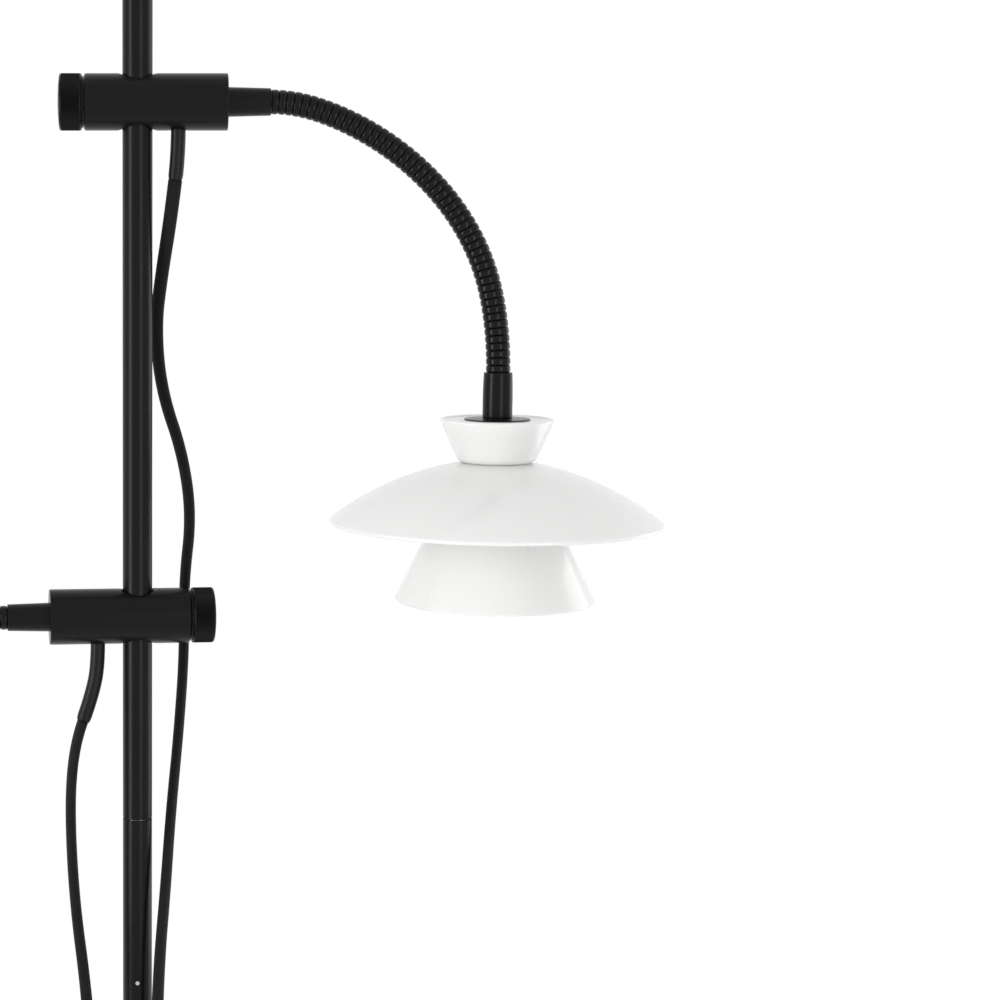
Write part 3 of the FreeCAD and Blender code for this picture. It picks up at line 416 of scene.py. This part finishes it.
# %% One rib's outline, and a straight hose spun from it
RIB_PITCH = 4.0
RIB_CREST = 6.5
RIB_GROOVE = 5.65
RIB_FLATNESS = 3.6          # how flat the crest is
RIB_FULLNESS = 0.62         # how steeply its sides fall into the groove
RIB_SHARES = [0.0, 0.05, 0.09, 0.14, 0.21, 0.32, 0.44, 0.56, 0.68, 0.79, 0.86, 0.91, 0.95]


def rib_radius(share):
    """The hose's radius at a share of the way from one groove to the next."""
    return RIB_GROOVE + (RIB_CREST - RIB_GROOVE) * (1 - abs(2 * share - 1) ** RIB_FLATNESS) ** RIB_FULLNESS


def straight_hose(first, last):
    """A closed ribbed tube along +X, from one groove to another, in millimetres."""
    outline = [(first, 0.0)]
    for rib in range(int(round((last - first) / RIB_PITCH))):
        outline += [(first + (rib + share) * RIB_PITCH, rib_radius(share)) for share in RIB_SHARES]
    outline += [(last, RIB_GROOVE), (last, 0.0)]
    mesh = bpy.data.meshes.new("hose")
    mesh.from_pydata([(x, 0, z) for x, z in outline], [(k, k + 1) for k in range(len(outline) - 1)], [])
    hose = bpy.data.objects.new("hose", mesh)
    bpy.context.scene.collection.objects.link(hose)
    only(hose)
    bpy.ops.object.mode_set(mode="EDIT")
    bpy.ops.mesh.select_all(action="SELECT")
    bpy.ops.mesh.spin(steps=40, angle=math.radians(360), center=(0, 0, 0), axis=(1, 0, 0))
    bpy.ops.mesh.select_all(action="SELECT")
    bpy.ops.mesh.remove_doubles(threshold=0.001)
    bpy.ops.mesh.normals_make_consistent(inside=False)
    bpy.ops.object.mode_set(mode="OBJECT")
    bpy.ops.object.shade_smooth_by_angle(angle=math.radians(70))
    return hose


# %% [markdown]
# Each length crosses one joint. It is bent along the arm's curve, set in the arm's place, and takes the place
# of the CAD lengths that it covers.

# %% Lay the lengths of hose along the arm
SEAMS = [0, 40, 76, 112, 148, 208]
CURVE_EVERY = 4             # each fourth point of the line is enough for the curve


def bend_line(side):
    """The arm's curve as a curve object, for the modifier to follow."""
    curve = bpy.data.curves.new("bend", "CURVE")
    curve.dimensions = "3D"
    spline = curve.splines.new("POLY")
    picked = range(0, len(HOSE_RUN), CURVE_EVERY)
    spline.points.add(len(picked) - 1)
    for point, k in zip(spline.points, picked):
        point.co = (HOSE_X[k], 0, HOSE_Z[k], 1)
    line = bpy.data.objects.new("bend", curve)
    bpy.context.scene.collection.objects.link(line)
    return line


def gooseneck(side):
    line = bend_line(side)
    lengths = []
    for k, (first, last) in enumerate(zip(SEAMS, SEAMS[1:])):
        hose = straight_hose(first, last)
        follow = hose.modifiers.new("follow", "CURVE")
        follow.object = line
        follow.deform_axis = "POS_X"
        apply_modifiers(hose)
        hose.matrix_world = arm_place(side)
        replaced = [side + "_hose_%d" % (k + 1)]
        if last == SEAMS[-1]:
            replaced.append(side + "_hose_6")
        settle(hose, side + "_gooseneck_%d" % (k + 1), None, "black_hose", *replaced)
        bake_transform(hose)
        lengths.append(hose)
    bpy.data.objects.remove(line)
    print(side, "gooseneck", sum(len(h.data.polygons) for h in lengths), "faces")


for arm in ARMS:
    gooseneck(arm)

# %% [markdown]
# ## The clamping knobs
#
# A clamp is tightened by a black turned knob with a straight knurl: fine, even grooves cut along its rim so
# that fingers grip it. The knob is a cylinder whose edges are bevelled first. Its rim faces are then
# picked, inset one by one and pushed in, which leaves a ridge between every two. Last come two low steps on
# the outer face, and the neck.

# %% Knurled knobs
KNOB_R = 15.0
KNOB_WIDTH = 12.0
KNOB_BACK = 29.35           # pole axis to the side of the knob that faces the clamp
KNOB_EDGE = 1.1             # the bevel round its two edges
KNOB_NECK = 0.8             # how far the neck reaches towards the clamp
NECK_INSET = 0.4
KNURLS = 84
RIDGE_SIDE = 0.24           # the sloping side of a ridge, seen square on
GROOVE_SHARE = 0.986        # the grooves' radius as a share of the rim's
FACE_STEPS = [(3.2, 0.45), (4.5, 0.3)]      # inset, then rise, of the outer face's two turned steps


def knob(side):
    """One knob, modelled along Z and then laid against its clamp."""
    bpy.ops.object.select_all(action="DESELECT")
    bpy.ops.mesh.primitive_cylinder_add(vertices=KNURLS, radius=KNOB_R, depth=KNOB_WIDTH)
    piece = bpy.context.object
    bpy.ops.object.mode_set(mode="EDIT")
    shape = bmesh.from_edit_mesh(piece.data)
    # chamfer both edges first, so that the knurl stops short of them as a lathe leaves it
    for edge in shape.edges:
        edge.select = abs(edge.verts[0].co.z - edge.verts[1].co.z) < 1e-6
    shape.select_flush_mode()
    bmesh.update_edit_mesh(piece.data)
    bpy.ops.mesh.bevel(offset=KNOB_EDGE, segments=3, affect="EDGES")
    # the knurl: every long rim face is inset on its own and pushed in
    shape = bmesh.from_edit_mesh(piece.data)
    for face in shape.faces:
        face.select = abs(face.normal.z) < 0.1 and len(face.verts) == 4 and face.calc_area() > 5
    bmesh.update_edit_mesh(piece.data)
    bpy.ops.mesh.inset(thickness=RIDGE_SIDE, use_individual=True)
    bpy.ops.transform.resize(value=(GROOVE_SHARE, GROOVE_SHARE, 1.0), center_override=(0, 0, 0))
    # two low turned steps on the outer face
    shape = bmesh.from_edit_mesh(piece.data)
    for face in shape.faces:
        face.select = face.normal.z > 0.99 and face.calc_area() > 100
    bmesh.update_edit_mesh(piece.data)
    for width, rise in FACE_STEPS:
        bpy.ops.mesh.inset(thickness=width)
        bpy.ops.transform.translate(value=(0, 0, rise))
    # a neck on the inner face, which all but closes the gap to the clamp
    shape = bmesh.from_edit_mesh(piece.data)
    for face in shape.faces:
        face.select = face.normal.z < -0.99 and face.calc_area() > 100
    bmesh.update_edit_mesh(piece.data)
    bpy.ops.mesh.inset(thickness=NECK_INSET)
    bpy.ops.mesh.extrude_region_move(TRANSFORM_OT_translate={"value": (0, 0, -KNOB_NECK)})
    bpy.ops.mesh.select_all(action="SELECT")
    bpy.ops.mesh.normals_make_consistent(inside=False)
    bpy.ops.object.mode_set(mode="OBJECT")
    piece.matrix_world = (arm_place(side) @ Matrix.Translation((-KNOB_BACK - KNOB_WIDTH / 2, 0, 0))
                          @ Matrix.Rotation(math.radians(-90), 4, "Y"))
    only(piece)
    bpy.ops.object.shade_smooth_by_angle(angle=math.radians(32))
    return settle(piece, side + "_knurled_knob", side + "_knob", "black_turned", side + "_knob")


for arm in ARMS:
    print(arm, "knob", len(knob(arm).data.polygons), "faces")

# %% [markdown]
# ## Shrink sleeves
#
# Where a lead leaves its clamp it is held in a shrink sleeve: a smooth black tube that was heated until it
# gripped, so it shows the flat flex inside it and necks in at its free end.

# %% Shrink sleeves
SLEEVE_ROUTES = {"upper": [(21.6, 0, -8), (21.8, 0, -26), (20.0, 0, -41)],
                 "lower": [(21.6, 0, -8), (21.3, 0, -26), (25.0, 0, -44), (29.8, 0, -57.5)]}
SLEEVE_WIDTH = 7.9 * MM
SLEEVE_THICK = 7.6 * MM
SLEEVE_SIDES = 24
NECKED_OVER = 3 * MM        # how far the free end takes to neck in
NECKED_TO = 0.86            # its share of the sleeve's width at the very end


def shrink_sleeve(side):
    """One sleeve, from inside its clamp to a little way down the lead."""
    route = [tuple(v / MM for v in arm_place(side) @ Vector(p)) for p in SLEEVE_ROUTES[side]]
    line = smooth_line(route, steps=16)
    sleeve = flex_tube(side + "_shrink_sleeve", line, SLEEVE_WIDTH, SLEEVE_THICK, sides=SLEEVE_SIDES)
    for k, vert in enumerate(sleeve.data.vertices):
        ring = k // SLEEVE_SIDES
        share = min(line_length(line[ring:]) / NECKED_OVER, 1.0)
        centre = Vector(line[ring])
        vert.co = centre + (vert.co - centre) * (NECKED_TO + (1 - NECKED_TO) * share ** 0.5)
    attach(sleeve, side + "_clamp")
    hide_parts(side + "_cord_sleeve")
    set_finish(sleeve, "black_sleeve")
    print(side, "sleeve", round(line_length(line) / MM, 1), "mm long")


for arm in ARMS:
    shrink_sleeve(arm)

# %% [markdown]
# ## Finishes
#
# No real surface is one flat colour. A sprayed or moulded one has a fine grain, its gloss drifts from place
# to place, and so does its shade, by very little. One function writes all three, in real millimetres on the
# object's own coordinates, so that each finish differs only in its numbers.

# %% A surface with grain and slow unevenness
CLOUD_SCALE = 45.0          # the slow unevenness is about 22 mm across
GLOSS_WANDERS = 0.05


def finish(name, colour, roughness, grain_mm, depth_mm, settings=None, drift=0.12):
    """A material whose colour darkens by drift and whose gloss wanders, over a fine bump."""
    material, surface = new_material(name, settings or {})
    tree = material.node_tree
    place = add_node(tree, "ShaderNodeTexCoord")
    at = {"Vector": place.outputs["Object"]}
    grain = add_node(tree, "ShaderNodeTexNoise", {"Scale": 1 / (grain_mm * MM), "Detail": 3.0}, at)
    cloud = add_node(tree, "ShaderNodeTexNoise", {"Scale": CLOUD_SCALE, "Detail": 4.0}, at)
    gloss = add_node(tree, "ShaderNodeMapRange",
                     {"To Min": roughness - GLOSS_WANDERS, "To Max": roughness + GLOSS_WANDERS},
                     {"Value": cloud.outputs["Fac"]})
    bright = linear(colour)
    dull = tuple(c * (1 - drift) for c in bright[:3]) + (1.0,)
    tint = add_node(tree, "ShaderNodeMix", {"data_type": "RGBA", 6: bright, 7: dull},
                    {0: cloud.outputs["Fac"]})
    bump = add_node(tree, "ShaderNodeBump", {"Strength": 0.35, "Distance": depth_mm * MM},
                    {"Height": grain.outputs["Fac"]})
    tree.links.new(tint.outputs[2], surface.inputs["Base Color"])
    tree.links.new(gloss.outputs["Result"], surface.inputs["Roughness"])
    tree.links.new(bump.outputs["Normal"], surface.inputs["Normal"])
    return material


# %% [markdown]
# A braided cover is two sets of yarns that wind round the flex in opposite directions and pass over and
# under each other. Along the cord's own UVs the two sets are two slanting waves, and which of them lies on
# top changes from one crossing to the next.

# %% Woven textile
YARNS = 22                  # yarns of one set, counted round the flex
YARN_HEIGHT_MM = 0.22
YARN_LAY_MM = 1.05          # how far a yarn moves on along the flex while it crosses its neighbour's place


def braid(name, yarn_colour, gap_shade_colour):
    """A material woven along the cord's own UVs, with painted shade darkening the grooves between its yarns."""
    material, surface = new_material(name, {"Roughness": 0.7, "Specular IOR Level": 0.18, "Sheen Weight": 0.06,
                                            "Sheen Roughness": 0.4})
    tree = material.node_tree
    place = add_node(tree, "ShaderNodeUVMap", {"uv_map": "along"})
    parts = add_node(tree, "ShaderNodeSeparateXYZ", {}, {0: place.outputs["UV"]})
    turned = add_node(tree, "ShaderNodeMath", {"operation": "MULTIPLY", 1: YARNS * math.pi},
                      {0: parts.outputs[0]})
    waves = []
    for sense in (1, -1):
        slant = add_node(tree, "ShaderNodeMath",
                         {"operation": "MULTIPLY_ADD", 1: sense * math.pi / (YARN_LAY_MM * MM)},
                         {0: parts.outputs[1], 2: turned.outputs[0]})
        waves.append(add_node(tree, "ShaderNodeMath", {"operation": "SINE"}, {0: slant.outputs[0]}))
    over = add_node(tree, "ShaderNodeMath", {"operation": "MULTIPLY"},
                    {0: waves[0].outputs[0], 1: waves[1].outputs[0]})
    first_on_top = add_node(tree, "ShaderNodeMath", {"operation": "GREATER_THAN", 1: 0.0}, {0: over.outputs[0]})
    heights = [add_node(tree, "ShaderNodeMath", {"operation": "ABSOLUTE"}, {0: w.outputs[0]}) for w in waves]
    height = add_node(tree, "ShaderNodeMix", {"data_type": "FLOAT"},
                      {0: first_on_top.outputs[0], 2: heights[0].outputs[0], 3: heights[1].outputs[0]})
    # the grooves between the yarns get the darker colour: painted shade that follows the same height as the
    # bump
    colour = add_node(tree, "ShaderNodeMix",
                      {"data_type": "RGBA", 6: linear(gap_shade_colour), 7: linear(yarn_colour)},
                      {0: height.outputs[0]})
    bump = add_node(tree, "ShaderNodeBump", {"Strength": 0.8, "Distance": YARN_HEIGHT_MM * MM},
                    {"Height": height.outputs[0]})
    tree.links.new(colour.outputs[2], surface.inputs["Base Color"])
    tree.links.new(bump.outputs["Normal"], surface.inputs["Normal"])
    return material


# %% The lamp's finishes, by what they are
DULL = {"Specular IOR Level": 0.2}
COAT = {"Specular IOR Level": 0.14}
GLOSSY = {"Specular IOR Level": 0.16}
MILKY = {"Subsurface Weight": 0.4, "Subsurface Radius": (1.0, 1.0, 1.0), "Subsurface Scale": 0.006}
METAL = {"Metallic": 1.0}
FINISHES = {
    "black_steel": finish("satin_powder_coat", "#0c0c0d", 0.28, 0.9, 0.02, COAT),
    "black_turned": finish("satin_black_turned_metal", "#0c0c0d", 0.25, 0.6, 0.01, COAT),
    "black_hose": finish("glossy_black_ribbed_steel", "#0a0a0b", 0.18, 0.8, 0.01, GLOSSY),
    "black_plastic": finish("fine_grained_black_abs", "#111112", 0.42, 0.5, 0.04, DULL),
    "black_rubber": finish("soft_black_rubber", "#121212", 0.62, 0.7, 0.03, DULL),
    "black_sleeve": finish("heat_shrunk_polyolefin", "#0d0d0e", 0.38, 1.4, 0.04, DULL),
    # the woven textile's second colour is painted shade in the grooves of its weave
    "black_textile": braid("woven_black_textile", "#151517", "#060607"),
    "plated_steel": finish("zinc_plated_steel", "#c3c3c0", 0.28, 0.4, 0.01, METAL),
    "opal": finish("opal_acrylic", "#e9e9e8", 0.2, 6.0, 0.02, MILKY, drift=0.015),
    "bulb_opal": finish("opal_bulb", "#f4f3ee", 0.22, 3.0, 0.01, MILKY, drift=0.02),
}

# %% Every CAD node and piece takes its finish
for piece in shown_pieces():
    slot = piece.get("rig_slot") or piece.material_slots[0].material.name.split(".")[0]
    if not piece.material_slots:
        piece.data.materials.append(FINISHES[slot])
    for place in piece.material_slots:
        place.link = "OBJECT"
        place.material = FINISHES[slot]
print("finishes", ", ".join(sorted(m.name for m in FINISHES.values())))

# %% [markdown]
# ## Floor, white room and lamps
#
# The photograph's background is plain white. The eye, mirrors and glass see a white room, while its light
# on the lamp is set apart from that, so that the shades keep their modelling. The floor is only as large as
# its shadows need.

# %% The rays that see the room
def seen_rays(tree):
    """A node whose value is 1 for rays from the camera, off a mirror or through glass, and 0 for the others."""
    rays = add_node(tree, "ShaderNodeLightPath")
    either = add_node(tree, "ShaderNodeMath", {"operation": "MAXIMUM"},
                      {0: rays.outputs["Is Camera Ray"], 1: rays.outputs["Is Glossy Ray"]})
    return add_node(tree, "ShaderNodeMath", {"operation": "MAXIMUM"},
                    {0: either.outputs[0], 1: rays.outputs["Is Transmission Ray"]})


# %% Floor
FLOOR_SIZE = 5.0
FLOOR_GLOW = 0.3            # lifts the floor to the background's white for those rays, and leaves its shadows
bpy.ops.object.select_all(action="DESELECT")
bpy.ops.mesh.primitive_plane_add(size=FLOOR_SIZE, location=(0, 0, -0.5 * MM))
floor = bpy.context.object
floor.name = "studio_floor"
pale = finish("pale_studio_floor", "#f7f7f7", 0.9, 5.0, 0.05,
              {"Emission Color": linear("#ffffff")}, drift=0.01)
tree = pale.node_tree
glow = add_node(tree, "ShaderNodeMath", {"operation": "MULTIPLY", 1: FLOOR_GLOW},
                {0: seen_rays(tree).outputs[0]})
tree.links.new(glow.outputs[0], tree.nodes["Principled BSDF"].inputs["Emission Strength"])
floor.data.materials.append(pale)

# %% White room
ROOM_LIGHT = 0.76

world = bpy.data.worlds.new("white_room")
world.use_nodes = True
bpy.context.scene.world = world
tree = world.node_tree
tree.nodes.clear()
seen = seen_rays(tree)
dim = add_node(tree, "ShaderNodeBackground", {"Strength": ROOM_LIGHT, "Color": linear("#ffffff")})
white = add_node(tree, "ShaderNodeBackground", {"Strength": 1.0, "Color": linear("#ffffff")})
mix = add_node(tree, "ShaderNodeMixShader", {},
               {0: seen.outputs[0], 1: dim.outputs[0], 2: white.outputs[0]})
add_node(tree, "ShaderNodeOutputWorld", {}, {"Surface": mix.outputs[0]})


# %% Softboxes
def softbox(name, azimuth, away, width, height, middle_z, radiance):
    """A tall softbox that faces the pole. Its power is what gives its face that radiance."""
    data = bpy.data.lights.new(name, "AREA")
    data.shape = "RECTANGLE"
    data.size, data.size_y = width, height
    data.energy = radiance * width * height * math.pi
    lamp = bpy.data.objects.new(name, data)
    angle = math.radians(azimuth)
    lamp.location = (away * math.sin(angle), -away * math.cos(angle), middle_z)
    aim = Vector((0, 0, middle_z)) - lamp.location
    lamp.rotation_euler = aim.to_track_quat("-Z", "Y").to_euler()
    bpy.context.scene.collection.objects.link(lamp)


# the photograph's pole shows a broad streak on its left and a thinner, weaker one right of its middle
# azimuth in degrees, then distance, width, height and middle height in metres, then radiance
softbox("left_softbox", -58, 1.2, 0.30, 1.1, 1.35, 7.6)
softbox("right_softbox", 28, 1.4, 0.25, 1.1, 1.35, 4.5)
softbox("right_edge_fill", 110, 1.3, 0.60, 1.3, 1.30, 1.5)

# %% Plain colours
bpy.context.scene.view_settings.view_transform = "Standard"
